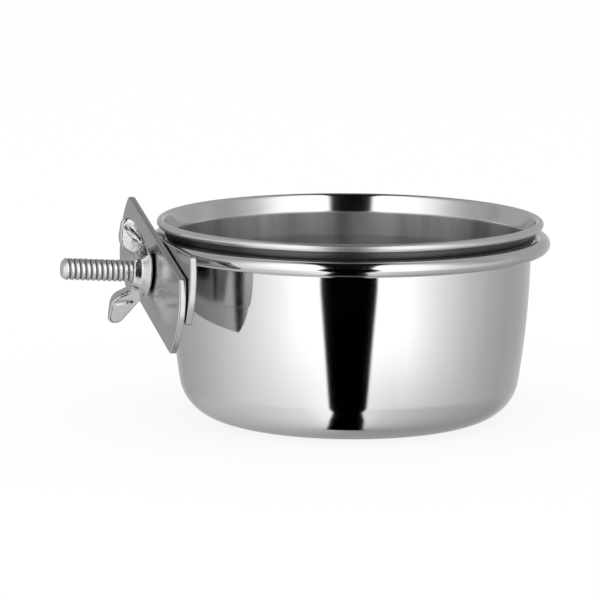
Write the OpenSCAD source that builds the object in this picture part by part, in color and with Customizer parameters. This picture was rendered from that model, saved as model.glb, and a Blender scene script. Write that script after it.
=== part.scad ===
// Bolt-on cage cup: a deep-drawn bowl that drops into a round-wire ring. The ring is welded to a
// back plate, and a loose clamp plate with a wing nut on a stud grips the cage bars between the plates.
// Origin: centre of the back plate's clamping face, on the stud's axis. +Z is up, the stud points to -X.

/* [Bowl] */
// Outside diameter over the rolled rim
rim_d = 108; // [80:1:160]
// Diameter of the rolled bead
bead_d = 2.3; // [2:0.1:4]
// Height from the base to the top of the bead
bowl_h = 55.7; // [40:0.1:90]
// Sheet thickness
bowl_wall = 0.7; // [0.5:0.05:0.9]
// Depth of the conical collar that hangs in the ring, from the top of the bead
collar_h = 6; // [5.5:0.1:7]
// Slope of the collar, in degrees from upright
collar_slope = 12; // [9:0.5:16]
// Height of the shoulder between the collar and the body
shoulder_h = 1; // [0.6:0.1:3]
// How far the shoulder steps in from the collar to the body
shoulder_step = 0.76; // [0.4:0.02:1.5]
// How far the body narrows from the shoulder to the bottom corner
body_taper = 3; // [1:0.1:5]
// Outside radius of the bottom corner
corner_r = 12.2; // [6:0.1:18]
// How far round the bead is curled, in degrees
curl_turn = 285; // [220:5:290]

/* [Ring] */
// Wire diameter
wire_d = 4.4; // [3:0.1:6]
// Radial room between the ring and the body of the bowl
ring_room = 0.95; // [0.8:0.05:1.1]
// Depth of the flat on the wire where it is welded to the back plate
ring_seat = 2.5; // [0.8:0.05:2.6]

/* [Plates] */
// Sheet thickness of both plates
plate_t = 1.9; // [1:0.1:3]
// Length of the back plate between its corners
back_l = 69.4; // [40:0.1:80]
// Height of the back plate
back_w = 18.6; // [16:0.1:24]
// How far the ends of the back plate bow out past its corners
back_bow = 1.9; // [0.5:0.1:4]
// Length of the clamp plate between its corners
clamp_l = 63.4; // [36:0.1:76]
// Height of the clamp plate
clamp_w = 21.6; // [16:0.1:26]
// How far the ends of the clamp plate bow out past its corners
clamp_bow = 4; // [0.5:0.1:5]
// How far the middle of the clamp plate lies below its hole
clamp_low = 0.4; // [0:0.1:1.5]
// Turn of the clamp plate on the stud, as it is tightened, in degrees
clamp_turn = 13; // [0:1:30]
// Corner radius of both plates
plate_corner_r = 1.1; // [0.5:0.1:3]
// How far the plates and the stud lean back from upright, in degrees
bracket_lean = 4; // [0:0.1:5]
// Gap between the two plates when the clamp is closed
plate_gap = 0.3; // [0.1:0.05:3]

/* [Stud] */
// Outside diameter of the thread
stud_d = 5.9; // [5:0.1:8]
// Length of the stud in front of the clamping face
stud_l = 26.6; // [24:0.1:40]
// Chamfer at the free end
stud_chamfer = 0.8; // [0.2:0.1:1.2]
// Diameter of the tail that goes through the back plate
tail_d = 4.8; // [3:0.1:5]
// Diameter of the peened head behind the back plate
peen_d = 6.2; // [5.4:0.1:8]
// Height of the peened head
peen_h = 1; // [0.5:0.1:1.4]

/* [Wing nut] */
// Diameter of the flange at the foot of the hub
flange_d = 13.8; // [12:0.1:16]
// Height of the flange's upright edge
flange_h = 0.8; // [0.4:0.1:1.5]
// Height of the hub
hub_h = 5; // [4:0.1:8]
// Diameter of the top of the hub
hub_top_d = 8.4; // [8:0.1:10]
// Span over both wings
wing_span = 32.8; // [26:0.1:40]
// Height from the foot of the hub to the top of the wings
wing_h = 9.6; // [8:0.1:14]
// Thickness of a wing at its rim
wing_t = 2.3; // [1.8:0.1:3.2]
// Thickness of a wing where it meets the hub
wing_root_t = 4.4; // [3:0.1:6]
// Depth of the dish in each face of a wing
dish_depth = 0.45; // [0.1:0.05:0.6]
// Turn of the nut on the stud, as it is tightened, in degrees
nut_turn = 16; // [0:1:90]

/* [Hidden] */
$fn = 96;
// one overrun serves every cut
over = 1;
// gap that the bowl keeps to the ring it rests on
seat_gap = 0.25;
// room round the stud in the wing nut and in the clamp plate
nut_fit = 0.08;
plate_fit = 0.1;
// room round the stud's tail in the back plate, and between the nut and the clamp plate
tail_fit = 0.05;
nut_gap = 0.1;
// clear height between the ring's wire and the peened head
peen_room = 1.4;

// bowl profile, [radius, height above the top of the bead]: the sheet curls about the bead's centre,
// and the collar's outer face meets the curl square to the slope
bead_r = bead_d / 2;
curl_r = bead_r - bowl_wall;
bead_c = [rim_d / 2 - bead_r, -bead_r];
collar_top = bead_c + curl_r * [-cos(collar_slope), sin(collar_slope)];
neck_r = collar_top[0] - (collar_h + collar_top[1]) * tan(collar_slope);
body_r = neck_r - shoulder_step;
foot_r = body_r - body_taper;
body_z = collar_h + shoulder_h;
// the wall leaves the shoulder upright and reaches the corner at this slant, which the corner's arc takes up
slant = atan(2 * body_taper / (bowl_h - body_z - corner_r));
corner_top = bowl_h - corner_r * (1 - sin(slant));
corner_c = foot_r - corner_r * cos(slant);

// ring: it stops where the collar comes to rest on it
wire_r = wire_d / 2;
ring_r = body_r + ring_room + wire_r;
ring_reach = wire_r + seat_gap - (ring_r - collar_top[0]) * cos(collar_slope);
ring_below_rim = ring_reach / sin(collar_slope) - collar_top[1];

// places in the frame of the part
ring_z = wire_r + peen_d / 2 + peen_room;
rim_z = ring_z + ring_below_rim;
bowl_x = plate_t / cos(bracket_lean) + ring_r + wire_r - ring_seat + ring_z * tan(bracket_lean);
nut_z = plate_gap + plate_t + nut_gap;
stud_r = stud_d / 2;
bore_r = stud_r + nut_fit;

function unit(v) = v / norm(v);
function left_of(v) = [-v[1], v[0]];
// points of an arc of radius r about c, from angle a to angle b in n steps
function arc(c, r, a, b, n) = [for (i = [0:n]) let (t = a + (b - a) * i / n) c + r * [cos(t), sin(t)]];
// points of a cubic curve from p to s, drawn towards q and r on the way
function curve(p, q, r, s, n) = [for (i = [0:n]) let (t = i / n, k = 1 - t)
    k ^ 3 * p + 3 * k ^ 2 * t * q + 3 * k * t ^ 2 * r + t ^ 3 * s];
// a path moved sideways by d, to the left of its direction
function beside(path, d) = [for (i = [0:len(path) - 1])
    let (last = len(path) - 1,
        a = left_of(unit(path[max(i, 1)] - path[max(i, 1) - 1])),
        b = left_of(unit(path[min(i + 1, last)] - path[min(i + 1, last) - 1])),
        m = unit(a + b))
    path[i] + d * m / (m * a)];

// outer surface of the bowl from the middle of the base up to the lip of the bead
wall_steps = 7;
function wall_r(t) = body_r - body_taper * t ^ 2;
function wall_y(t) = -body_z - t * (corner_top - body_z);
bowl_path = concat(
    [[0, -bowl_h]],
    arc([corner_c, corner_r - bowl_h], corner_r, -90, -slant, 12),
    [for (i = [1:wall_steps]) let (t = 1 - i / wall_steps) [wall_r(t), wall_y(t)]],
    [[neck_r, -collar_h]],
    arc(bead_c, curl_r, 180 - collar_slope, 180 - curl_turn, 20));

// moves what follows onto the bowl's axis, at the top of the bead
module at_rim() {
    translate([bowl_x, 0, rim_z])
        children();
}

// moves what follows onto the stud: its Z runs out along the stud, and its X to the -Y side
module on_bracket() {
    rotate([0, bracket_lean, 0])
        rotate([90, 0, -90])
            children();
}

// outline of a plate: straight long edges, bowed ends and rounded corners
module bowed_outline(l, w, bow) {
    end_r = ((w / 2) ^ 2 + bow ^ 2) / (2 * bow);
    end_c = l / 2 + bow - end_r;
    corner_y = w / 2 - plate_corner_r;
    corner_x = end_c + sqrt((end_r - plate_corner_r) ^ 2 - corner_y ^ 2);
    // the wedge from the end's centre past the two rounded corners
    reach = (end_r + bow) / (end_r - plate_corner_r);
    square([2 * corner_x, w], center = true);
    for (side = [-1, 1])
        scale([side, 1]) {
            for (up = [-1, 1])
                translate([corner_x, up * corner_y])
                    circle(plate_corner_r);
            intersection() {
                translate([end_c, 0])
                    circle(end_r, $fn = 180);
                polygon([
                    [end_c, 0],
                    [end_c + (corner_x - end_c) * reach, -corner_y * reach],
                    [end_c + (corner_x - end_c) * reach, corner_y * reach]]);
            }
        }
}

module bowl() {
    inner_path = beside(bowl_path, bowl_wall);
    color("gainsboro")
        at_rim()
            rotate_extrude($fn = 180)
                polygon(concat(bowl_path, [for (i = [len(inner_path) - 1:-1:0]) inner_path[i]]));
}

// a closed ring of round wire, with a flat where it is welded to the back plate
module ring() {
    color("silver")
        difference() {
            translate([bowl_x, 0, ring_z])
                rotate_extrude($fn = 180)
                    translate([ring_r, 0])
                        circle(wire_r, $fn = 48);
            on_bracket()
                translate([-ring_r, -ring_r, -plate_t])
                    cube([2 * ring_r, 2 * ring_r, wire_d + over]);
        }
}

module back_plate() {
    color("darkgray")
        on_bracket()
            translate([0, 0, -plate_t])
                difference() {
                    linear_extrude(plate_t)
                        bowed_outline(back_l, back_w, back_bow);
                    translate([0, 0, -over])
                        cylinder(r = tail_d / 2 + tail_fit, h = plate_t + 2 * over);
                }
}

// shouldered stud: its tail goes through the back plate and is peened over behind it
module stud() {
    color("lightslategray")
        on_bracket()
            rotate_extrude()
                polygon(concat(
                    [[0, -plate_t - peen_h]],
                    curve([tail_d / 4, -plate_t - peen_h], [peen_d / 2, -plate_t - peen_h],
                        [peen_d / 2, -plate_t - peen_h / 2], [peen_d / 2, -plate_t], 8),
                    [[tail_d / 2, -plate_t], [tail_d / 2, 0], [stud_r, 0]],
                    [[stud_r, stud_l - stud_chamfer], [stud_r - stud_chamfer, stud_l], [0, stud_l]]));
}

module clamp_plate() {
    color("darkgray")
        on_bracket()
            translate([0, 0, plate_gap])
                difference() {
                    linear_extrude(plate_t)
                        rotate(-clamp_turn)
                            translate([0, -clamp_low])
                                bowed_outline(clamp_l, clamp_w, clamp_bow);
                    translate([0, 0, -over])
                        cylinder(r = stud_r + plate_fit, h = plate_t + 2 * over);
                }
}

// side view of a wing, as [distance from the stud's axis, height above the flange's foot]: its outer
// and inner curves, and where it leaves the hub, are in shares of the wing's reach and height
wing_r = wing_span / 2;
outer_shares = [[0.92, 0.51], [1.04, 0.63], [1.02, 1], [0.85, 1]];
inner_shares = [[0.64, 1], [0.52, 1], [0.44, 0.92], [0.38, 0.78]];
root_shares = [0.29, 0.6];
hub_top_share = 0.9;
function on_wing(share) = [wing_r * share[0], wing_h * share[1]];
function wing_curve(shares, n) = let (p = [for (share = shares) on_wing(share)])
    curve(p[0], p[1], p[2], p[3], n);
wing_outline = concat(
    [[bore_r + wing_t / 4, flange_h / 2], [flange_d / 2 - flange_h, flange_h / 2]],
    wing_curve(outer_shares, 10),
    wing_curve(inner_shares, 8),
    [on_wing(root_shares), [bore_r + wing_t / 4, hub_h * hub_top_share]]);

// half of a wing's thickness at distance r from the stud's axis: it thickens towards the hub
function half_wing(r) = wing_t / 2 + (wing_root_t - wing_t) / 2 * max(0, 1 - (r - bore_r) / (wing_r / 2)) ^ 2;
plan_steps = 8;
plan_side = [for (i = [0:plan_steps]) let (r = bore_r + (wing_r / 2) * i / plan_steps) [r, half_wing(r)]];

// the dish follows the wing's own outline, drawn in towards its middle
dish_share = 0.62;
dish_from_share = 0.37;
dish_centre_shares = [0.72, 0.73];
dish_c = on_wing(dish_centre_shares);

module wing() {
    difference() {
        intersection() {
            rotate([90, 0, 0])
                linear_extrude(wing_root_t, center = true)
                    polygon(wing_outline);
            linear_extrude(wing_h + over)
                polygon(concat(plan_side, [[wing_r + over, wing_t / 2], [wing_r + over, -wing_t / 2]],
                    [for (i = [plan_steps:-1:0]) [plan_side[i][0], -plan_side[i][1]]]));
        }
        for (side = [-1, 1])
            translate([dish_c[0], side * wing_t / 2, dish_c[1]])
                rotate([90, 0, 0])
                    linear_extrude(2 * dish_depth, center = true)
                        polygon([for (p = wing_outline) if (p[0] > wing_r * dish_from_share)
                            dish_share * (p - dish_c)]);
    }
}

// height of the hub's shoulder
hub_mid_share = 0.58;

// cast wing nut: flanged hub with a bore, and two dished wings
module wing_nut() {
    color("gray")
        on_bracket()
            translate([0, 0, nut_z])
                rotate(90 - nut_turn) {
                    rotate_extrude()
                        polygon([
                            [bore_r, 0],
                            [flange_d / 2, 0],
                            [flange_d / 2, flange_h],
                            [hub_top_d / 2 + flange_h, hub_h * hub_mid_share],
                            [hub_top_d / 2, hub_h],
                            [bore_r + flange_h, hub_h],
                            [bore_r, hub_h - flange_h]]);
                    for (side = [0, 180])
                        rotate(side)
                            wing();
                }
}

bowl();
ring();
back_plate();
stud();
clamp_plate();
wing_nut();
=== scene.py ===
import math

import bmesh
import bpy
import numpy as np
from mathutils import Matrix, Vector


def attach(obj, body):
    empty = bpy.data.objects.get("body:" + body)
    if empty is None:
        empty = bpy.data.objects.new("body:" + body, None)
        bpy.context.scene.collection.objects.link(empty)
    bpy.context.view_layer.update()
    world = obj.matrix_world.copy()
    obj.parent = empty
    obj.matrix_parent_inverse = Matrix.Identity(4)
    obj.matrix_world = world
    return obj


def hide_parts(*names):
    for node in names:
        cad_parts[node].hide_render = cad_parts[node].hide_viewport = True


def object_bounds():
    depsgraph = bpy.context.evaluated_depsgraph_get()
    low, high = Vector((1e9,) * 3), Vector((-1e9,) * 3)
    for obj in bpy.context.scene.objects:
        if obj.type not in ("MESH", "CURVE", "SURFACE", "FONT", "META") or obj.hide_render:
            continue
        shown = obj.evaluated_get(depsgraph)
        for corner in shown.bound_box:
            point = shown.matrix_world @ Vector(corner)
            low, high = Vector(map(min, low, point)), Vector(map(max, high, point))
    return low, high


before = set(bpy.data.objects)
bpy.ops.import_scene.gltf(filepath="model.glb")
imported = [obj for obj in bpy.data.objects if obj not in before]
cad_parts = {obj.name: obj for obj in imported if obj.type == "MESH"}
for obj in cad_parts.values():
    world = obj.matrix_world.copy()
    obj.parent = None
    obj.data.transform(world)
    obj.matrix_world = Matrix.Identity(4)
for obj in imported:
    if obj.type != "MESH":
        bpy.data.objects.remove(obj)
cadLow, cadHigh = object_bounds()
mm = 0.001
print("frame loaded:", ", ".join(sorted(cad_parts)))


# Small tools

def linearColour(code):  # sRGB hex to linear light
    rgb = np.array([int(code[i:i + 2], 16) for i in (1, 3, 5)]) / 255
    light = np.where(rgb <= 0.04045, rgb / 12.92, ((rgb + 0.055) / 1.055) ** 2.4)
    return (*light.tolist(), 1.0)


def addNode(tree, kind, inputs=None, **settings):  # inputs are values, or sockets to link from
    node = tree.nodes.new(kind)
    for name, value in settings.items():
        setattr(node, name, value)
    for key, value in (inputs or {}).items():
        if isinstance(value, bpy.types.NodeSocket):
            tree.links.new(value, node.inputs[key])
        else:
            node.inputs[key].default_value = value
    return node


def newMaterial(name):
    material = bpy.data.materials.new(name)
    material.use_nodes = True
    material.node_tree.nodes.clear()
    return material, material.node_tree


def smoothStep(x, a, b):  # 0 below a, 1 above b, and an even S between
    t = np.clip((x - a) / (b - a), 0, 1)
    return t * t * (3 - 2 * t)


def arcPoints(centre, radius, start, end, count):  # radius times (cos, sin) about the centre, in degrees
    t = np.radians(np.linspace(start, end, count))
    return np.array(centre) + radius * np.stack([np.cos(t), np.sin(t)], -1)


def bezier(p, q, r, s, count):  # the cubic curve from p to s that leaves towards q and comes in from r
    t = np.linspace(0, 1, count)[:, None]
    p, q, r, s = (np.array(k, float) for k in (p, q, r, s))
    return (1 - t) ** 3 * p + 3 * (1 - t) ** 2 * t * q + 3 * (1 - t) * t ** 2 * r + t ** 3 * s


def travelled(line):  # the length of the line up to each of its points
    return np.concatenate([[0], np.cumsum(np.linalg.norm(np.diff(line, axis=0), axis=1))])


def evenly(path, count, closed=False):  # the same line, with count points at equal steps along it
    line = np.vstack([path, path[:1]]) if closed else path
    along = travelled(line)
    at = np.linspace(0, along[-1], count, endpoint=not closed)
    return np.stack([np.interp(at, along, line[:, k]) for k in range(line.shape[1])], -1)


def roundedLine(corners, step):
    # straight runs between (x, y, radius) corners; the arc at a corner touches both runs, so its centre lies
    # on the line that halves the angle, at the radius over the sine of half the angle
    points = [np.array(corners[0][:2], float)]
    for before, here, after in zip(corners, corners[1:], corners[2:]):
        p, q, r = (np.array(c[:2], float) for c in (before, here, after))
        a, b = (p - q) / np.linalg.norm(p - q), (r - q) / np.linalg.norm(r - q)
        half = math.acos(np.clip(a @ b, -1, 1)) / 2
        if here[2] <= 0 or half > math.pi / 2 - 1e-4:
            points.append(q)
            continue
        centre = q + (a + b) / np.linalg.norm(a + b) * here[2] / math.sin(half)
        reach = here[2] / math.tan(half)
        first, last = q + a * reach - centre, q + b * reach - centre
        turn = math.atan2(first[0] * last[1] - first[1] * last[0], first @ last)
        t = np.linspace(0, turn, max(3, int(abs(turn) * here[2] / step) + 2))
        points.extend(centre + np.stack([first[0] * np.cos(t) - first[1] * np.sin(t),
                                         first[0] * np.sin(t) + first[1] * np.cos(t)], -1))
    points.append(np.array(corners[-1][:2], float))
    return np.array(points)


def sideways(path):  # unit normals of an open line, to the left of its direction
    d = np.gradient(path, axis=0)
    d /= np.linalg.norm(d, axis=1, keepdims=True)
    return np.stack([-d[:, 1], d[:, 0]], -1)


def addSurface(name, points, loopU, loopV, attributes=None):
    # quads between neighbours of the grid points[u, v]; doubled points at poles are merged, and the faces are
    # turned outwards
    rows, columns = points.shape[:2]
    index = np.arange(rows * columns).reshape(rows, columns)
    u = np.arange(rows if loopU else rows - 1)
    v = np.arange(columns if loopV else columns - 1)
    nextU, nextV = (u + 1) % rows, (v + 1) % columns
    quads = np.stack([index[u][:, v], index[nextU][:, v], index[nextU][:, nextV], index[u][:, nextV]], -1)
    mesh = bpy.data.meshes.new(name)
    mesh.from_pydata(points.reshape(-1, 3).tolist(), [], quads.reshape(-1, 4).tolist())
    for key, values in (attributes or {}).items():
        layer = mesh.attributes.new(key, "FLOAT", "POINT")
        layer.data.foreach_set("value", np.broadcast_to(values, (rows, columns)).astype(np.float32).ravel())
    bm = bmesh.new()
    bm.from_mesh(mesh)
    bmesh.ops.remove_doubles(bm, verts=bm.verts, dist=1e-7)
    bmesh.ops.recalc_face_normals(bm, faces=bm.faces)
    bm.to_mesh(mesh)
    bm.free()
    mesh.polygons.foreach_set("use_smooth", np.ones(len(mesh.polygons), bool))
    piece = bpy.data.objects.new(name, mesh)
    bpy.context.scene.collection.objects.link(piece)
    return piece


def standFor(piece, node, body, material):
    piece.data.materials.clear()
    piece.data.materials.append(material)
    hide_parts(node)
    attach(piece, body)
    print("made", piece.name, len(piece.data.polygons), "faces")


# Camera: a long lens a little above the rim, turned to the bracket's side

camera = {"azimuth": -16.5, "elevation": 9.27, "distance": 900, "lens": 193.1,
          "sideways": -13.87, "upwards": -23.165, "roll": 0.33, "sensor": 36, "sees": (0.05, 20),
          "target": (55.822, 0, 13.24)}  # degrees and mm, with sees in metres; target is the rim's middle
az, el = math.radians(camera["azimuth"]), math.radians(camera["elevation"])
towardsCamera = np.array([math.sin(az) * math.cos(el), -math.cos(az) * math.cos(el), math.sin(el)])
rightward = np.array([math.cos(az), math.sin(az), 0])
upward = np.cross(towardsCamera, rightward)
place = (np.array(camera["target"]) + camera["distance"] * towardsCamera
         + camera["sideways"] * rightward + camera["upwards"] * upward) * mm
lens = bpy.data.cameras.new("studioCamera")
lens.lens, lens.sensor_width = camera["lens"], camera["sensor"]
lens.clip_start, lens.clip_end = camera["sees"]
eye = bpy.data.objects.new("studioCamera", lens)
bpy.context.scene.collection.objects.link(eye)
axes = Matrix(np.stack([rightward, upward, towardsCamera], 1).tolist()).to_4x4()
rolled = Matrix.Rotation(math.radians(camera["roll"]), 4, "Z")
eye.matrix_world = Matrix.Translation(place.tolist()) @ axes @ rolled
bpy.context.scene.camera = eye
bpy.context.scene.view_settings.view_transform = "Standard"
print("camera placed")


# Light: a tent of pale cloth with a dark gap in front, seen only in reflections, and even light elsewhere

tent = {
    # brightness by compass angle from the camera: near the horizon, well below it, and well above it
    "level": [(-180, 0.60), (-150, 0.43), (-120, 0.52), (-100, 0.64), (-80, 0.82), (-60, 1.02), (-48, 1.18),
              (-35, 1.4), (-16, 1.5), (14, 1.5), (38, 1.4), (50, 1.15), (60, 0.97), (80, 0.7), (100, 0.53),
              (120, 0.45), (140, 0.47), (160, 0.56), (180, 0.60)],
    "low": [(-180, 0.40), (-140, 0.55), (-100, 0.66), (-60, 0.8), (-35, 0.95), (-16, 1.25), (14, 0.95),
            (30, 0.74), (60, 0.58), (100, 0.45), (140, 0.36), (180, 0.40)],
    "high": [(-180, 0.45), (-117, 0.44), (-108, 0.38), (-95, 0.46), (-88, 0.47), (-79, 0.57), (-70, 0.76),
             (-62, 1.04), (-55, 1.23), (-47, 1.4), (-30, 1.5), (30, 1.5), (49, 1.33), (56, 1.1), (63, 0.78),
             (71, 0.61), (80, 0.49), (88, 0.42), (98, 0.44), (107, 0.5), (118, 0.44), (180, 0.45)],
    "top": 0.42,
    "toLow": (-16.5, -33.5), "toHigh": (0, 14), "toTop": (61, 71),  # heights where one fades into the next
    # the dark gap's half width by pitch, in degrees
    "gapHalf": [(-180, 5), (-95, 6), (-80, 7.3), (-60, 8.8), (-37, 8.8), (-26.3, 12.6), (-21.1, 14.3),
                (-11.5, 17.7), (0, 16.4), (14.7, 13.2), (27, 12.6), (60, 12.6), (180, 12.6)],
    "gapMiddle": -1.2, "gapEdge": (-0.8, 0.8),  # sideways, and the width of its soft edge
    "gapFoot": (-93, -97), "gapHead": (92, 100), "overHead": 0.35, "gapBack": (135, 155),  # ends by pitch
    "around": 1.0,  # for everything but reflections
}
world = bpy.data.worlds.new("lightTent")
world.use_nodes = True
bpy.context.scene.world = world
tree = world.node_tree
tree.nodes.clear()
direction = addNode(tree, "ShaderNodeTexCoord").outputs["Generated"]
turned = addNode(tree, "ShaderNodeMapping", {"Vector": direction, "Rotation": (0, 0, -az)})
part = addNode(tree, "ShaderNodeSeparateXYZ", {"Vector": turned.outputs["Vector"]})
towards = addNode(tree, "ShaderNodeMath", {0: part.outputs["Y"], 1: -1.0}, operation="MULTIPLY").outputs[0]
compass = addNode(tree, "ShaderNodeMath", {0: part.outputs["X"], 1: towards}, operation="ARCTAN2").outputs[0]
height = addNode(tree, "ShaderNodeMath", {0: part.outputs["Z"]}, operation="ARCSINE").outputs[0]
aside = addNode(tree, "ShaderNodeMath", {0: part.outputs["X"]}, operation="ARCSINE").outputs[0]
pitch = addNode(tree, "ShaderNodeMath", {0: part.outputs["Z"], 1: towards}, operation="ARCTAN2").outputs[0]

# each table becomes a ramp over the whole turn, whose colours hold shares of the most that its values may be
ramps = {}
for name, angle, most in (("level", compass, 2.0), ("low", compass, 2.0), ("high", compass, 2.0),
                          ("gapHalf", pitch, 20.0)):
    share = addNode(tree, "ShaderNodeMapRange", {"Value": angle, "From Min": -math.pi, "From Max": math.pi})
    ramp = addNode(tree, "ShaderNodeValToRGB", {"Fac": share.outputs["Result"]})
    while len(ramp.color_ramp.elements) < len(tent[name]):
        ramp.color_ramp.elements.new(0.5)
    for element, (degrees, value) in zip(ramp.color_ramp.elements, tent[name]):
        element.position = degrees / 360 + 0.5
        element.color = (value / most, value / most, value / most, 1)
    scaled = addNode(tree, "ShaderNodeMath", {0: ramp.outputs["Color"], 1: most}, operation="MULTIPLY")
    ramps[name] = scaled.outputs[0]

cloth = ramps["level"]
for (start, end), above in ((tent["toLow"], ramps["low"]), (tent["toHigh"], ramps["high"]),
                            (tent["toTop"], tent["top"])):
    share = addNode(tree, "ShaderNodeMapRange", {
        "Value": height, "From Min": math.radians(start), "From Max": math.radians(end)},
        interpolation_type="SMOOTHSTEP")
    cloth = addNode(tree, "ShaderNodeMix", {"Factor": share.outputs["Result"], "A": cloth, "B": above})
    cloth = cloth.outputs["Result"]

# the cloth is seen outside the gap's edge, below its foot, dimly over its head, and behind the bowl
offMiddle = addNode(tree, "ShaderNodeMath", {0: aside, 1: math.radians(tent["gapMiddle"])},
                    operation="SUBTRACT")
offMiddle = addNode(tree, "ShaderNodeMath", {0: offMiddle.outputs[0]}, operation="ABSOLUTE")
fromEdge = addNode(tree, "ShaderNodeMath", {0: ramps["gapHalf"], 1: -math.pi / 180, 2: offMiddle.outputs[0]},
                   operation="MULTIPLY_ADD")
seen = 0.0
for angle, (start, end), most in ((fromEdge.outputs[0], tent["gapEdge"], 1.0), (pitch, tent["gapFoot"], 1.0),
                                  (pitch, tent["gapHead"], tent["overHead"]), (pitch, tent["gapBack"], 1.0)):
    share = addNode(tree, "ShaderNodeMapRange", {
        "Value": angle, "From Min": math.radians(start), "From Max": math.radians(end), "To Max": most},
        interpolation_type="SMOOTHSTEP")
    seen = addNode(tree, "ShaderNodeMath", {0: seen, 1: share.outputs["Result"]}, operation="MAXIMUM")
    seen = seen.outputs[0]
reflected = addNode(tree, "ShaderNodeMath", {0: cloth, 1: seen}, operation="MULTIPLY").outputs[0]
rays = addNode(tree, "ShaderNodeLightPath")
light = addNode(tree, "ShaderNodeMix", {
    "Factor": rays.outputs["Is Glossy Ray"], "A": tent["around"], "B": reflected})
background = addNode(tree, "ShaderNodeBackground", {"Color": light.outputs["Result"], "Strength": 1.0})
addNode(tree, "ShaderNodeOutputWorld", {"Surface": background.outputs[0]})
print("light tent made")

# floor: a pale matt card under the bowl, left out of the reflections; its glow keeps the shadow faint
floor = {"reach": 3.0, "below": 0.00005, "colour": "#fafafa", "glow": 0.85}  # metres
u, v = np.meshgrid(np.linspace(-1, 1, 9), np.linspace(-1, 1, 9), indexing="ij")
level = np.full_like(u, cadLow.z - floor["below"])
sheet = addSurface("floorSheet", np.stack([u * floor["reach"], v * floor["reach"], level], -1), False, False)
material, tree = newMaterial("paleCard")
matt = addNode(tree, "ShaderNodeBsdfDiffuse", {"Color": linearColour(floor["colour"])})
glow = addNode(tree, "ShaderNodeEmission", {"Color": (1, 1, 1, 1), "Strength": 1.0})
both = addNode(tree, "ShaderNodeMixShader", {"Fac": floor["glow"], 1: matt.outputs[0], 2: glow.outputs[0]})
addNode(tree, "ShaderNodeOutputMaterial", {"Surface": both.outputs[0]})
sheet.data.materials.append(material)
sheet.visible_glossy = False

softKey = {"across": 1.2, "watts": 2.0, "place": (-0.3, -0.4, 1.4), "tilt": (16, -12)}  # metres and degrees
lamp = bpy.data.lights.new("softKey", "AREA")
lamp.shape, lamp.size, lamp.energy = "DISK", softKey["across"], softKey["watts"]
keyLight = bpy.data.objects.new("softKey", lamp)
bpy.context.scene.collection.objects.link(keyLight)
keyLight.location = softKey["place"]
keyLight.rotation_euler = (*np.radians(softKey["tilt"]), 0)
keyLight.visible_glossy = False
print("floor and key light made")


# Bowl

bowl = {"axis": (55.8222, 0.0), "top": 13.2398, "rimD": 108, "beadD": 2.3, "height": 55.7, "wall": 0.7,
        "collar": 6.0, "slope": 12.0, "shoulder": 1.0, "shoulderStep": 0.76, "taper": 3.0, "cornerR": 12.2,
        "curl": 285, "neckBendR": 2.6, "bodyBendR": 1.9,
        "flare": 18, "knee": 4.85, "kneeBendR": 4.9, "kneeFoot": 11.5,  # the inner side of the neck
        "around": 250, "along": 150, "arcSteps": 60, "curlSteps": 26,
        # where the finishes and the painted shade begin and end: from the bead's middle, outwards of it, and
        # by depth below the rim
        "beadSatin": (1.3, 2.0), "beadOuter": (-0.5, 0.1), "grooveFrom": (1.0, 1.7), "grooveTo": (4.5, 5.2),
        "deepFrom": (4.6, 5.8), "shadeFadeTo": (20, 36),
        "tones": ("#d9dada", "#dfe0e0"), "shadeStreakTones": ("#868686", "#acacac"), "grooveShadeTone": "#626262",
        "mirror": (0.05, 0.08), "satin": {"deep": 0.4, "bead": 0.28, "groove": 0.32},  # roughness
        "haze": 16.667, "buffLine": 0.25, "buffRun": 11.11,
        "streakWide": 8.333, "streakLong": 100}  # mm and degrees
beadMiddle = (bowl["rimD"] / 2 - bowl["beadD"] / 2, -bowl["beadD"] / 2)


def bowlPath(b):
    # the outer surface, from the middle of the base to the lip inside the bead: a flat base, a corner arc,
    # a wall whose radius falls with the square of its depth, a short conical shoulder, a leaning collar with
    # rounded bends at both ends of the shoulder, and the curl of the bead, as (radius, height below the rim)
    lean = math.radians(b["slope"])
    curlR = b["beadD"] / 2 - b["wall"]
    top = (beadMiddle[0] - curlR * math.cos(lean), beadMiddle[1] + curlR * math.sin(lean))
    neckR = top[0] - (b["collar"] + top[1]) * math.tan(lean)
    bodyR = neckR - b["shoulderStep"]
    footR = bodyR - b["taper"]
    bodyY = b["collar"] + b["shoulder"]
    slant = math.atan(2 * b["taper"] / (b["height"] - bodyY - b["cornerR"]))
    cornerTop = b["height"] - b["cornerR"] * (1 - math.sin(slant))
    cornerC = (footR - b["cornerR"] * math.cos(slant), b["cornerR"] - b["height"])
    corner = arcPoints(cornerC, b["cornerR"], -90, -math.degrees(slant), b["arcSteps"])
    t = np.linspace(1, 0.04, b["arcSteps"])[1:]
    wall = np.stack([bodyR - b["taper"] * t ** 2, -bodyY - t * (cornerTop - bodyY)], -1)
    bends = roundedLine([(*wall[-1], 0), (bodyR, -bodyY, b["bodyBendR"]),
                         (neckR, -b["collar"], b["neckBendR"]), (*top, 0)], 0.1)
    curl = arcPoints(beadMiddle, curlR, 180 - b["slope"], 180 - b["curl"], b["arcSteps"])
    sheet = np.vstack([[[0, -b["height"]]], corner, wall, bends[1:-1], curl[:1]])
    return np.vstack([evenly(sheet, b["along"]), evenly(curl, b["curlSteps"])[1:]])


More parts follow.
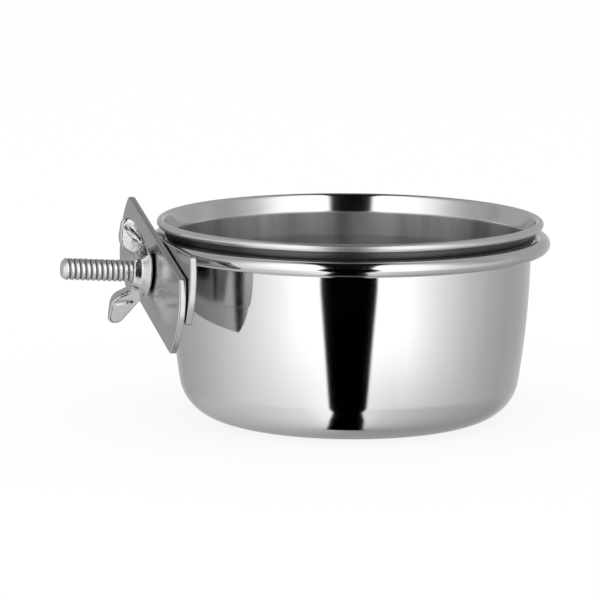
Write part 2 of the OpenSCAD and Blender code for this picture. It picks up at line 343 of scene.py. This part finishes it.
def bowlInside(outer, b):
    # the sheet's inner surface on the same terms: the outer one set in by the wall, a straight rise to the
    # knee, the flared collar, and the outside of the bead
    offset = outer + sideways(outer) * b["wall"]
    wall = offset[offset[:, 1] < -b["kneeFoot"]]
    bead = arcPoints(beadMiddle, b["beadD"] / 2, 180 - b["flare"], 180 - b["curl"], 30)
    kneeR = bead[0, 0] - (b["knee"] + bead[0, 1]) * math.tan(math.radians(b["flare"]))
    rise = roundedLine([(*wall[-1], 0), (kneeR, -b["knee"], b["kneeBendR"]), (*bead[0], 0)], 0.1)
    return np.vstack([[[0, wall[1, 1]]], wall[1:], evenly(rise, b["arcSteps"])[1:-1], bead])


def lipBetween(outer, inner):  # half a circle over the sheet's edge, from the outer surface to the inner one
    middle, across = (outer[-1] + inner[-1]) / 2, (outer[-1] - inner[-1]) / 2
    onward = np.array([across[1], -across[0]])
    onward *= np.sign(onward @ (outer[-1] - outer[-2]))
    t = np.linspace(0, math.pi, 7)[1:-1, None]
    return middle + np.cos(t) * across + np.sin(t) * onward


outer = bowlPath(bowl)
inner = bowlInside(outer, bowl)
lip = lipBetween(outer, inner)
section = np.vstack([outer, lip, inner[::-1]])
radius, depth = section[:, 0], -section[:, 1]
inside = np.concatenate([np.zeros(len(outer)), np.full(len(lip), 0.5), np.ones(len(inner))])
onBead = 1 - smoothStep(np.linalg.norm(section - beadMiddle, axis=1), *bowl["beadSatin"])
onBead = onBead * smoothStep(radius - beadMiddle[0], *bowl["beadOuter"])
# painted shade in the groove under the bead, outside between the bead and the ring; the same mask makes it
# rougher
groove = (inside < 0.5) * smoothStep(depth, *bowl["grooveFrom"]) * (1 - smoothStep(depth, *bowl["grooveTo"]))
deep = (inside > 0.5) * smoothStep(depth, *bowl["deepFrom"])
# painted shade: a band of the inside wall below the rim, fading out with depth
insideShadeBand = deep * (1 - smoothStep(depth, *bowl["shadeFadeTo"]))
# a surface of revolution: radius times (cos, sin) of the turn about the bowl's axis, and the height
turn = np.linspace(0, 2 * math.pi, bowl["around"], endpoint=False)[:, None]
points = np.stack([bowl["axis"][0] + radius * np.cos(turn), bowl["axis"][1] + radius * np.sin(turn),
                   bowl["top"] - depth + 0 * turn], -1) * mm
bowlPiece = addSurface("seedBowl", points, True, False, {
    "alongSheet": travelled(section) * mm, "bead": onBead, "inside": inside, "groove": groove, "deep": deep,
    "insideShadeBand": insideShadeBand})

# deep-drawn stainless sheet, buffed to a mirror: neutral grey reflections, sharp but for the satin bead; the
# wheel reaches less into the bowl, and not at all into the groove under the bead, so both are rougher; the
# groove and a band of the inside wall below the rim are darkened with painted shade
material, tree = newMaterial("mirrorBuffedStainless")
where = addNode(tree, "ShaderNodeTexCoord").outputs["Object"]
shares = {key: addNode(tree, "ShaderNodeAttribute", attribute_name=key).outputs["Fac"]
          for key in ("alongSheet", "bead", "inside", "groove", "deep", "insideShadeBand")}
# buffing lines run round the bowl, so the pattern is much finer along the sheet than round it; real ones are
# too fine to show, and these are as coarse as they need to be
xyz = addNode(tree, "ShaderNodeSeparateXYZ", {"Vector": where})
lines = addNode(tree, "ShaderNodeCombineXYZ", {
    "X": xyz.outputs["X"], "Y": xyz.outputs["Y"], "Z": shares["alongSheet"]})
lines = addNode(tree, "ShaderNodeMapping", {
    "Vector": lines.outputs[0], "Scale": [1 / (bowl[k] * mm) for k in ("buffRun", "buffRun", "buffLine")]})
buffing = addNode(tree, "ShaderNodeTexNoise", {"Vector": lines.outputs[0], "Scale": 1.0, "Detail": 3.0})
haze = addNode(tree, "ShaderNodeTexNoise", {"Vector": where, "Scale": 1 / (bowl["haze"] * mm), "Detail": 2.0})
tone = addNode(tree, "ShaderNodeMix", {
    "Factor": haze.outputs["Fac"], "A": linearColour(bowl["tones"][0]), "B": linearColour(bowl["tones"][1])},
    data_type="RGBA")
# faint streaks up the inside wall vary the painted shade there, so that pattern is stretched in height
upright = addNode(tree, "ShaderNodeMapping", {
    "Vector": where, "Scale": (1, 1, bowl["streakWide"] / bowl["streakLong"])})
streaks = addNode(tree, "ShaderNodeTexNoise", {
    "Vector": upright.outputs[0], "Scale": 1 / (bowl["streakWide"] * mm), "Detail": 2.0})
streaks = addNode(tree, "ShaderNodeMapRange", {
    "Value": streaks.outputs["Fac"], "From Min": 0.35, "From Max": 0.65})
insideShadeTone = addNode(tree, "ShaderNodeMix", {
    "Factor": streaks.outputs["Result"], "A": linearColour(bowl["shadeStreakTones"][0]),
    "B": linearColour(bowl["shadeStreakTones"][1])}, data_type="RGBA")
# painted shade: the band inside the bowl and the groove under the bead take darker tones
for key, over in (("insideShadeBand", insideShadeTone.outputs["Result"]), ("groove", linearColour(bowl["grooveShadeTone"]))):
    tone = addNode(tree, "ShaderNodeMix", {
        "Factor": shares[key], "A": tone.outputs["Result"], "B": over}, data_type="RGBA")
rough = addNode(tree, "ShaderNodeMapRange", {
    "Value": shares["inside"], "To Min": bowl["mirror"][0], "To Max": bowl["mirror"][1]})
for key, dull in bowl["satin"].items():
    rough = addNode(tree, "ShaderNodeMix", {"Factor": shares[key], "A": rough.outputs["Result"], "B": dull})
rougher = addNode(tree, "ShaderNodeMath", {0: haze.outputs["Fac"], 1: 0.04, 2: rough.outputs["Result"]},
                  operation="MULTIPLY_ADD")
fine = addNode(tree, "ShaderNodeBump", {
    "Height": buffing.outputs["Fac"], "Strength": 0.03, "Distance": 0.1 * mm})
shader = addNode(tree, "ShaderNodeBsdfPrincipled", {
    "Base Color": tone.outputs["Result"], "Metallic": 1.0, "Roughness": rougher.outputs[0],
    "Normal": fine.outputs[0]})
addNode(tree, "ShaderNodeOutputMaterial", {"Surface": shader.outputs[0]})
standFor(bowlPiece, "bowl", "cup", material)


# Bracket frame: across to the near side, up, and outwards along the stud, which leans up

bracket = {"lean": 4, "plateThick": 1.9}  # degrees and mm
lean = math.radians(bracket["lean"])
bracketAxes = np.array([[0, -1, 0], [math.sin(lean), 0, math.cos(lean)],
                        [-math.cos(lean), 0, math.sin(lean)]])


def onStud(local, turn=0, lift=0):  # turned about the stud and lifted along it, and brought to metres
    a = math.radians(turn)
    x, y, z = local[..., 0], local[..., 1], local[..., 2]
    placed = np.stack([x * math.cos(a) - y * math.sin(a), x * math.sin(a) + y * math.cos(a), z + lift], -1)
    return placed @ bracketAxes * mm


# Ring

ring = {"axis": (55.8222, 0.0), "height": 6.7, "radius": 53.749, "wire": 4.4, "around": 480, "section": 48,
        "dull": (12, 18),  # to either side of the weld
        "tones": ("#d6d7d8", "#dedfdf"), "weldSideShadeTone": "#666666", "rough": (0.05, 0.12), "weldRough": 0.3,
        "haze": 8.333, "drawLine": 0.2778, "drawRun": 3.333}  # mm
# a closed wire ring: a circle of the wire's radius carried round one of the ring's, pressed flat on the plate
turn = np.linspace(0, 2 * math.pi, ring["around"], endpoint=False)[:, None]
wireTurn = np.linspace(0, 2 * math.pi, ring["section"], endpoint=False)[None]
reach = ring["radius"] + ring["wire"] / 2 * np.cos(wireTurn)
points = np.stack([ring["axis"][0] + reach * np.cos(turn), ring["axis"][1] + reach * np.sin(turn),
                   ring["height"] + ring["wire"] / 2 * np.sin(wireTurn) + 0 * turn], -1) * mm
past = points @ bracketAxes[2] + bracket["plateThick"] * mm  # beyond the plate's rear face
points -= np.maximum(past, 0)[..., None] * bracketAxes[2]
# mask for painted shade and roughness: the stretch of wire by the weld, on the plate's side
nearWeld = 1 - smoothStep(np.abs(points[..., 1]) / mm, *ring["dull"])
nearWeld = nearWeld * (points[..., 0] < ring["axis"][0] * mm)
ringPiece = addSurface("cageRing", points, True, True, {"weldSideShadeAndDull": nearWeld})

# polished stainless wire: bright, with short drawing lines along it, and a rougher stretch by the weld beside
# the plate, darkened with painted shade
material, tree = newMaterial("polishedStainlessWire")
where = addNode(tree, "ShaderNodeTexCoord").outputs["Object"]
haze = addNode(tree, "ShaderNodeTexNoise", {"Vector": where, "Scale": 1 / (ring["haze"] * mm), "Detail": 3.0})
# drawing lines lie level, along the wire, so the pattern is squeezed in height; real ones are finer too
stretched = addNode(tree, "ShaderNodeMapping", {
    "Vector": where, "Scale": (1, 1, ring["drawRun"] / ring["drawLine"])})
drawn = addNode(tree, "ShaderNodeTexNoise", {
    "Vector": stretched.outputs[0], "Scale": 1 / (ring["drawRun"] * mm), "Detail": 3.0})
weldSideShadeAndDull = addNode(tree, "ShaderNodeAttribute", attribute_name="weldSideShadeAndDull").outputs["Fac"]
tone = addNode(tree, "ShaderNodeMix", {
    "Factor": haze.outputs["Fac"], "A": linearColour(ring["tones"][0]), "B": linearColour(ring["tones"][1])},
    data_type="RGBA")
# painted shade: the stretch by the weld beside the plate takes a dark grey
tone = addNode(tree, "ShaderNodeMix", {
    "Factor": weldSideShadeAndDull, "A": tone.outputs["Result"], "B": linearColour(ring["weldSideShadeTone"])}, data_type="RGBA")
rough = addNode(tree, "ShaderNodeMapRange", {
    "Value": haze.outputs["Fac"], "To Min": ring["rough"][0], "To Max": ring["rough"][1]})
rough = addNode(tree, "ShaderNodeMix", {
    "Factor": weldSideShadeAndDull, "A": rough.outputs["Result"], "B": ring["weldRough"]})
fine = addNode(tree, "ShaderNodeBump", {
    "Height": drawn.outputs["Fac"], "Strength": 0.04, "Distance": 0.1 * mm})
shader = addNode(tree, "ShaderNodeBsdfPrincipled", {
    "Base Color": tone.outputs["Result"], "Metallic": 1.0, "Roughness": rough.outputs["Result"],
    "Normal": fine.outputs[0]})
addNode(tree, "ShaderNodeOutputMaterial", {"Surface": shader.outputs[0]})
standFor(ringPiece, "ring", "holder", material)


# Plates

def plateOutline(length, width, bow, cornerR, count):
    # two straight edges, two ends that are arcs through the bow, and rounded corners; the points and their
    # outward normals
    endR = ((width / 2) ** 2 + bow ** 2) / (2 * bow)
    endC = length / 2 + bow - endR
    cornerY = width / 2 - cornerR
    cornerX = endC + math.sqrt((endR - cornerR) ** 2 - cornerY ** 2)
    spread = math.degrees(math.atan2(cornerY, cornerX - endC))
    end = arcPoints((endC, 0), endR, -spread, spread, 90)
    corner = arcPoints((cornerX, cornerY), cornerR, spread, 90, 24)[1:]
    edge = np.stack([np.linspace(cornerX, -cornerX, 120)[1:], np.full(119, width / 2)], -1)
    far = arcPoints((-cornerX, cornerY), cornerR, 90, 180 - spread, 24)[1:-1]
    half = np.vstack([end, corner, edge, far])
    line = evenly(np.vstack([half, -half]), count, closed=True)
    d = np.roll(line, -1, axis=0) - np.roll(line, 1, axis=0)
    d /= np.linalg.norm(d, axis=1, keepdims=True)
    return line, np.stack([d[:, 1], -d[:, 0]], -1)


def plateSurface(name, p):
    # closed rows round the outline, as (flat points, height): out from the hole over the front face, where
    # each row is a blend of the hole's circle and the outline set in, round the edge by two quarter circles,
    # back over the rear face, and up the hole, which has a small chamfer on both faces
    line, normal = plateOutline(p["length"], p["width"], p["bow"], p["cornerR"], p["around"])
    line = line - np.array([0, p["low"]])
    angle = np.arctan2(line[:, 1], line[:, 0])
    hole = np.stack([np.cos(angle), np.sin(angle)], -1)
    thick, front, back, chamfer = bracket["plateThick"], p["frontR"], p["backR"], p["holeChamfer"]
    insets = (0.6, 0.3, 0.1)
    faceEdge = line - (front + insets[0]) * normal
    onFace = [(1 - share) * hole * p["holeR"] + share * faceEdge for share in (0.04, 0.2, 0.45, 0.7, 0.9)]
    quarter = np.linspace(0, math.pi / 2, 7)
    rows = [(hole * (p["holeR"] + chamfer), thick)]
    rows += [(flat, thick) for flat in onFace]
    rows += [(line - (front + inset) * normal, thick) for inset in insets]
    rows += [(line - front * (1 - math.sin(a)) * normal, thick - front * (1 - math.cos(a))) for a in quarter]
    rows += [(line - back * (1 - math.sin(a)) * normal, back * (1 - math.cos(a))) for a in quarter[::-1]]
    rows += [(line - (back + inset) * normal, 0) for inset in insets[::-1]]
    rows += [(flat, 0) for flat in onFace[::-1]]
    rows += [(hole * (p["holeR"] + chamfer), 0), (hole * p["holeR"], chamfer),
             (hole * p["holeR"], thick - chamfer)]
    local = np.stack([np.column_stack([flat, np.full(len(flat), rise)]) for flat, rise in rows], 1)
    return addSurface(name, onStud(local, -p["turn"], p["lift"]), True, True)


plateFinish = {"tones": ("#babbbb", "#cbcccc"), "rough": (0.10, 0.24),
               "haze": 6.667, "ripple": 14.286, "scuff": 1.1111}  # mm
# stamped stainless sheet, tumbled and polished: a soft mirror with slow ripples and fine scuffs
plateSteel, tree = newMaterial("tumbledStainlessSheet")
where = addNode(tree, "ShaderNodeTexCoord").outputs["Object"]
haze, ripple, scuff = (
    addNode(tree, "ShaderNodeTexNoise", {
        "Vector": where, "Scale": 1 / (plateFinish[key] * mm), "Detail": detail})
    for key, detail in (("haze", 4.0), ("ripple", 1.0), ("scuff", 4.0)))
tone = addNode(tree, "ShaderNodeMix", {
    "Factor": haze.outputs["Fac"], "A": linearColour(plateFinish["tones"][0]),
    "B": linearColour(plateFinish["tones"][1])}, data_type="RGBA")
rough = addNode(tree, "ShaderNodeMapRange", {
    "Value": haze.outputs["Fac"], "To Min": plateFinish["rough"][0], "To Max": plateFinish["rough"][1]})
wave = addNode(tree, "ShaderNodeBump", {
    "Height": ripple.outputs["Fac"], "Strength": 0.3, "Distance": 0.4 * mm})
fine = addNode(tree, "ShaderNodeBump", {
    "Height": scuff.outputs["Fac"], "Strength": 0.08, "Distance": 0.1 * mm, "Normal": wave.outputs[0]})
shader = addNode(tree, "ShaderNodeBsdfPrincipled", {
    "Base Color": tone.outputs["Result"], "Metallic": 1.0, "Roughness": rough.outputs["Result"],
    "Normal": fine.outputs[0]})
addNode(tree, "ShaderNodeOutputMaterial", {"Surface": shader.outputs[0]})

backPlate = {"length": 69.4, "width": 18.6, "bow": 1.9, "cornerR": 1.1, "low": 0, "turn": 0, "lift": -1.9,
             "holeR": 2.45, "holeChamfer": 0.1, "frontR": 0.3, "backR": 0.45, "around": 480}
standFor(plateSurface("backPlate", backPlate), "back_plate", "holder", plateSteel)
clampPlate = {"length": 63.4, "width": 21.6, "bow": 4.0, "cornerR": 1.1, "low": 0.4, "turn": 13, "lift": 0.3,
              "holeR": 3.05, "holeChamfer": 0.2, "frontR": 0.45, "backR": 0.3, "around": 480}
standFor(plateSurface("clampPlate", clampPlate), "clamp_plate", "clamp", plateSteel)


# Stud

stud = {"diameter": 6.0, "length": 26.6, "pitch": 1.5, "depth": 0.33, "groove": (0.1, 0.62), "chamfer": 0.8,
        "tipR": 1.2, "shoulderIn": 0.3, "tail": 4.8, "peen": 6.2, "peenHeight": 1.0, "peenFlat": 0.16,
        "around": 72, "perTurn": 18,
        "tones": ("#dcddde", "#ededee"), "rootShadeTone": "#7a7b7c", "rough": (0.18, 0.34), "rootRough": 0.45,
        "grain": 1.4286}  # mm; groove is where its wall ends and begins, from root to crest


def studTail(s):
    # the peened head behind the plate, rounded by one curve, the tail through the plate, and the shoulder
    rear = -bracket["plateThick"]
    foot = rear - s["peenHeight"]
    head = bezier((s["tail"] / 4, foot), (s["peen"] / 2, foot), (s["peen"] / 2, (foot + rear) / 2),
                  (s["peen"] / 2, rear), 10)
    neck = [[s["tail"] / 2, rear], [s["tail"] / 2, -0.02], [s["diameter"] / 2 - s["shoulderIn"], 0]]
    return np.vstack([[[0, foot], [s["peen"] * s["peenFlat"], foot]], head[1:], neck])


def threadedStud(s):
    # the radius at each height is the crest less a groove whose depth follows the height and the turn
    # together, so that it climbs one pitch a turn; it is cut by the chamfer at the free end
    rise = np.append(np.arange(0.0, s["length"], s["pitch"] / s["perTurn"]), s["length"])
    turn = np.linspace(0, 2 * math.pi, s["around"], endpoint=False)[:, None]
    wave = np.abs(((rise / s["pitch"] - turn / (2 * math.pi)) % 1) * 2 - 1)  # 1 at the crest, 0 at the root
    groove = 1 - smoothStep(wave, *s["groove"])
    cut = s["diameter"] / 2 - s["chamfer"] + (s["length"] - rise)
    thread = np.stack([np.minimum(s["diameter"] / 2 - s["depth"] * groove, cut), rise + 0 * turn], -1)
    tail, tip = (np.repeat(np.array(line)[None], s["around"], 0)
                 for line in (studTail(s), [[s["tipR"], s["length"]], [0, s["length"]]]))
    profile = np.concatenate([tail, thread, tip], 1)
    return np.stack([profile[..., 0] * np.cos(turn), profile[..., 0] * np.sin(turn), profile[..., 1]], -1)


local = threadedStud(stud)
# painted shade mask: deeper into the thread's roots, along the threaded length only
root = np.clip((stud["diameter"] / 2 - np.hypot(local[..., 0], local[..., 1])) / stud["depth"], 0, 1)
root = root * (local[..., 2] > 0) * (local[..., 2] < stud["length"] - stud["chamfer"])
studPiece = addSurface("threadedStud", onStud(local), True, False, {"root": root})

# rolled thread with bright zinc: bright crests, and rougher roots darkened with painted shade
material, tree = newMaterial("zincPlatedRolledThread")
where = addNode(tree, "ShaderNodeTexCoord").outputs["Object"]
root = addNode(tree, "ShaderNodeAttribute", attribute_name="root").outputs["Fac"]
grain = addNode(tree, "ShaderNodeTexNoise", {
    "Vector": where, "Scale": 1 / (stud["grain"] * mm), "Detail": 4.0})
tone = addNode(tree, "ShaderNodeMix", {
    "Factor": grain.outputs["Fac"], "A": linearColour(stud["tones"][0]), "B": linearColour(stud["tones"][1])},
    data_type="RGBA")
# painted shade: the thread's roots take a darker tone
tone = addNode(tree, "ShaderNodeMix", {
    "Factor": root, "A": tone.outputs["Result"], "B": linearColour(stud["rootShadeTone"])}, data_type="RGBA")
rough = addNode(tree, "ShaderNodeMapRange", {
    "Value": grain.outputs["Fac"], "To Min": stud["rough"][0], "To Max": stud["rough"][1]})
rough = addNode(tree, "ShaderNodeMix", {"Factor": root, "A": rough.outputs["Result"], "B": stud["rootRough"]})
fine = addNode(tree, "ShaderNodeBump", {
    "Height": grain.outputs["Fac"], "Strength": 0.2, "Distance": 0.1 * mm})
shader = addNode(tree, "ShaderNodeBsdfPrincipled", {
    "Base Color": tone.outputs["Result"], "Metallic": 1.0, "Roughness": rough.outputs["Result"],
    "Normal": fine.outputs[0]})
addNode(tree, "ShaderNodeOutputMaterial", {"Surface": shader.outputs[0]})
standFor(studPiece, "stud", "holder", material)


# Wing nut

nut = {"foot": 2.3, "turn": 74, "bore": 3.03, "flangeD": 13.8, "flangeH": 0.9, "bevel": 0.55, "footIn": 1.5,
       "hubH": 5.0, "kneeD": 10.0, "kneeH": 2.7, "hubTopD": 8.4, "mouth": 0.6,
       "span": 32.8, "height": 9.6, "tipT": 1.8, "rootT": 4.6, "draft": 0.5, "edge": 0.16,
       # a wing's foot starts rootIn outside the bore and ends rootOut inside the flange's edge, at the height
       # rootUp; rootTop is a share of the hub's height, the rest are shares of the wing's reach and height
       "rootIn": 0.6, "rootUp": 0.6, "rootOut": 0.4, "rootTop": 0.85, "heart": (0.7, 0.72),
       "outer": np.array([[0.885, 0.56], [1.0, 0.66], [0.99, 1], [0.86, 1]]),
       "inner": np.array([[0.66, 1], [0.5, 1], [0.43, 0.9], [0.375, 0.7]]), "root": np.array([0.31, 0.5]),
       "hollows": {-1: ((13.9, 8.6), (9.6, 3.6)), 1: ((9.4, 10), (8.3, 3.6))},  # on each face, from and to
       "dish": 0.3, "dishWide": 0.55, "voxel": 0.18, "softenings": 4,
       "tones": ("#c6c7c7", "#dcdddd"), "rough": (0.1, 0.24),
       "lumps": 2.857, "grain": 0.625}  # mm and degrees


def hubSurface(n):  # a closed section, as (radius, height, rounding) corners, carried round the stud
    bore, flange, middle = n["bore"], n["flangeD"] / 2, 2.0
    corners = [(bore, middle, 0), (bore, 0, 0.15), (flange - n["footIn"], 0, 0.2), (flange, n["bevel"], 0.12),
               (flange, n["flangeH"], 0.2), (n["kneeD"] / 2, n["kneeH"], 0.4),
               (n["hubTopD"] / 2, n["hubH"], 0.3), (bore + n["mouth"], n["hubH"], 0.2),
               (bore, n["hubH"] - n["mouth"], 0.2), (bore, middle, 0)]
    section = evenly(roundedLine(corners, 0.08)[:-1], 120, closed=True)
    turn = np.linspace(0, 2 * math.pi, 144, endpoint=False)[:, None]
    radius, rise = section[:, 0], section[:, 1]
    return np.stack([radius * np.cos(turn), radius * np.sin(turn), rise + 0 * turn], -1)


def wingSurface(n, side):
    # the side view's outline drawn in to a middle point in steps; the half thickness at each step falls
    # evenly from the hub to the tip and from the foot up, is rounded over at the outline, and is hollowed
    # along one short line on each face
    reach, high = n["span"] / 2, n["height"]
    size = (reach, high)
    outline = np.vstack([
        [[n["bore"] + n["rootIn"], n["rootUp"]], [n["flangeD"] / 2 - n["rootOut"], n["rootUp"]]],
        bezier(*(n["outer"] * size), 24), bezier(*(n["inner"] * size), 18),
        [n["root"] * size, [n["bore"] + n["rootIn"], n["hubH"] * n["rootTop"]]]])
    outline = evenly(outline, 160, closed=True)
    heart = np.array(n["heart"]) * size
    inward = np.concatenate([1 - np.linspace(0, 1, 9)[:-1] ** 2 * n["edge"],
                             np.linspace(1 - n["edge"], 0, 16)])
    rounding = np.sqrt(1 - (1 - (1 - inward) / n["edge"]).clip(0, 1) ** 2)
    grid = []
    for sign, order in ((1, slice(None, None, -1)), (-1, slice(None))):
        start, end = (np.array(k) for k in n["hollows"][sign])
        for share, edge in zip(inward[order], rounding[order]):
            flat = heart + share * (outline - heart)
            near = np.clip((reach - flat[:, 0]) / (reach - n["flangeD"] / 2), 0, 1)
            half = (n["tipT"] + (n["rootT"] - n["tipT"]) * near) / 2 + n["draft"] * (0.5 - flat[:, 1] / high)
            along = np.clip((flat - start) @ (end - start) / ((end - start) @ (end - start)), 0, 1)
            away = np.linalg.norm(flat - start - along[:, None] * (end - start), axis=1)
            hollow = n["dish"] * np.exp(-(away / n["dishWide"]) ** 2) * (1 - (2 * along - 1) ** 2)
            grid.append(np.stack([flat[:, 0], sign * edge * (half - hollow), flat[:, 1]], -1))
    return np.stack(grid, 1) * np.array([side, side, 1])


shapes = (("wingNut", hubSurface(nut), True), ("wingA", wingSurface(nut, 1), False),
          ("wingB", wingSurface(nut, -1), False))
parts = [addSurface(name, onStud(local, nut["turn"], nut["foot"]), True, closed)
         for name, local, closed in shapes]
nutPiece = parts[0]
with bpy.context.temp_override(active_object=nutPiece, selected_editable_objects=parts, object=nutPiece):
    bpy.ops.object.join()
fuse = nutPiece.modifiers.new("fuse", "REMESH")
fuse.mode, fuse.voxel_size, fuse.use_smooth_shade = "VOXEL", nut["voxel"] * mm, True
soften = nutPiece.modifiers.new("soften", "SMOOTH")
soften.factor, soften.iterations = 0.5, nut["softenings"]
graph = bpy.context.evaluated_depsgraph_get()
cast = bpy.data.meshes.new_from_object(nutPiece.evaluated_get(graph))
nutPiece.modifiers.clear()
nutPiece.data = cast
cast.polygons.foreach_set("use_smooth", np.ones(len(cast.polygons), bool))

# cast and bright plated: bright, with slow lumps from the mould and a fine grain
material, tree = newMaterial("brightPlatedCasting")
where = addNode(tree, "ShaderNodeTexCoord").outputs["Object"]
lumps, grain = (
    addNode(tree, "ShaderNodeTexNoise", {"Vector": where, "Scale": 1 / (nut[key] * mm), "Detail": 3.0})
    for key in ("lumps", "grain"))
tone = addNode(tree, "ShaderNodeMix", {
    "Factor": lumps.outputs["Fac"], "A": linearColour(nut["tones"][0]), "B": linearColour(nut["tones"][1])},
    data_type="RGBA")
rough = addNode(tree, "ShaderNodeMapRange", {
    "Value": grain.outputs["Fac"], "To Min": nut["rough"][0], "To Max": nut["rough"][1]})
uneven = addNode(tree, "ShaderNodeBump", {
    "Height": lumps.outputs["Fac"], "Strength": 0.2, "Distance": 0.4 * mm})
fine = addNode(tree, "ShaderNodeBump", {
    "Height": grain.outputs["Fac"], "Strength": 0.15, "Distance": 0.1 * mm, "Normal": uneven.outputs[0]})
shader = addNode(tree, "ShaderNodeBsdfPrincipled", {
    "Base Color": tone.outputs["Result"], "Metallic": 1.0, "Roughness": rough.outputs["Result"],
    "Normal": fine.outputs[0]})
addNode(tree, "ShaderNodeOutputMaterial", {"Surface": shader.outputs[0]})
standFor(nutPiece, "wing_nut", "nut", material)
